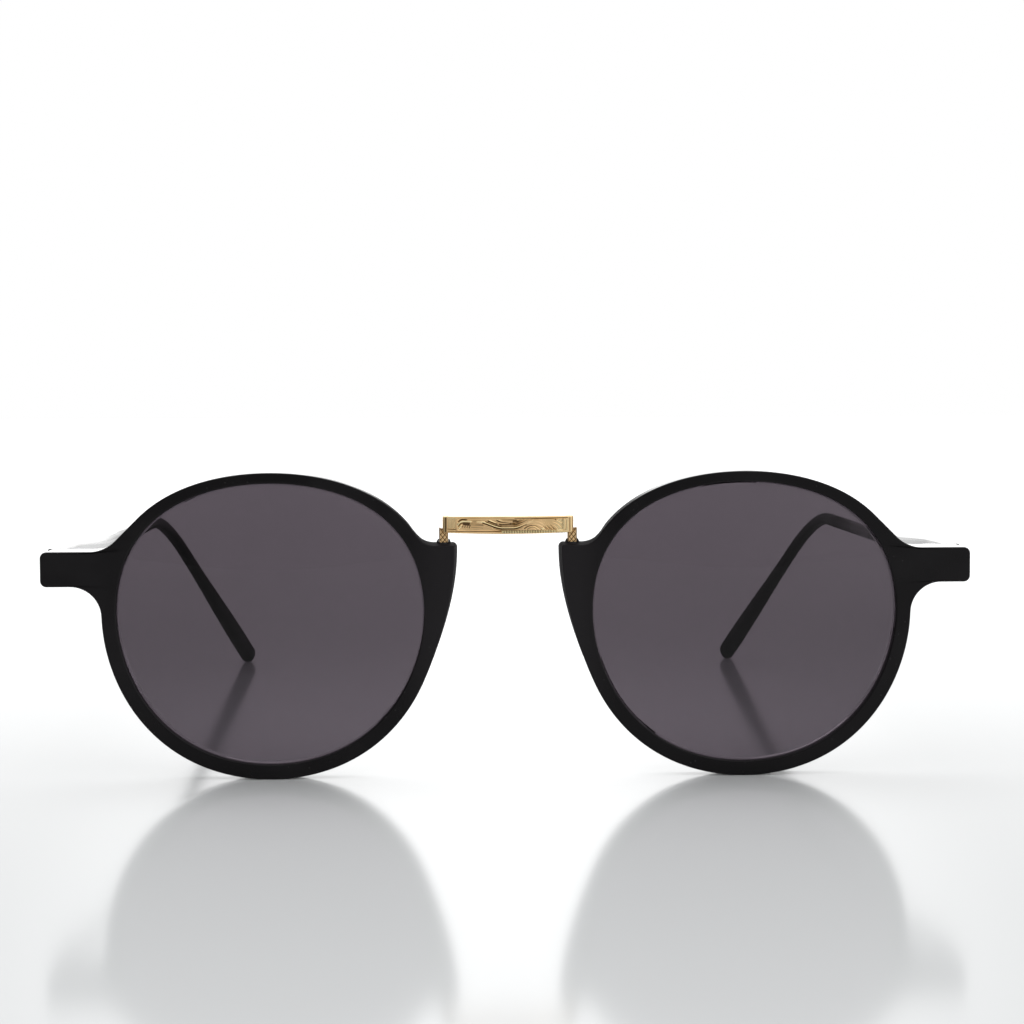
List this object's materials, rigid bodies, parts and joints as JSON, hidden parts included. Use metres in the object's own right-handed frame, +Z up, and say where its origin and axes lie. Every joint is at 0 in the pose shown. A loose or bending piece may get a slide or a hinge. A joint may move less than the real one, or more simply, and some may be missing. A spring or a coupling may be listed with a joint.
{
  "type": "round sunglasses",
  "caption": "Round sunglasses with black rims, smoke lenses, an engraved brass bridge and folding temples.",
  "frame": {"origin": "on the table, under the middle of the box round the open sunglasses", "axes": "+Z up, -Y towards the viewer of the front, +X towards the wearer's left"},
  "size_m": [0.132, 0.1304, 0.0436],
  "materials": {
    "frame_black": "polished",
    "smoke_lens": "polished",
    "bridge_brass": "satin, engraved",
    "hinge_steel": "satin",
    "wire_steel": "drawn"
  },
  "bodies": {
    "front": {"bridge": "bridge_brass", "right_rim": "frame_black", "left_rim": "frame_black", "right_lens": "smoke_lens", "left_lens": "smoke_lens", "right_front_hinge": "hinge_steel", "left_front_hinge": "hinge_steel", "right_hinge_screw": "hinge_steel", "left_hinge_screw": "hinge_steel"},
    "left_temple_body": {"left_temple": "frame_black", "left_temple_hinge": "hinge_steel", "left_core_wire": "wire_steel"},
    "right_temple_body": {"right_temple": "frame_black", "right_temple_hinge": "hinge_steel", "right_core_wire": "wire_steel"}
  },
  "joints": [
    {"name": "left_fold", "type": "hinge", "parent": "front", "child": "left_temple_body", "pos_m": [0.06205, -0.05755, 0.0301], "axis": [0, 0, 1], "range_deg": [0, 86]},
    {"name": "right_fold", "type": "hinge", "parent": "front", "child": "right_temple_body", "pos_m": [-0.06205, -0.05755, 0.0301], "axis": [0, 0, -1], "range_deg": [0, 78]}
  ]
}
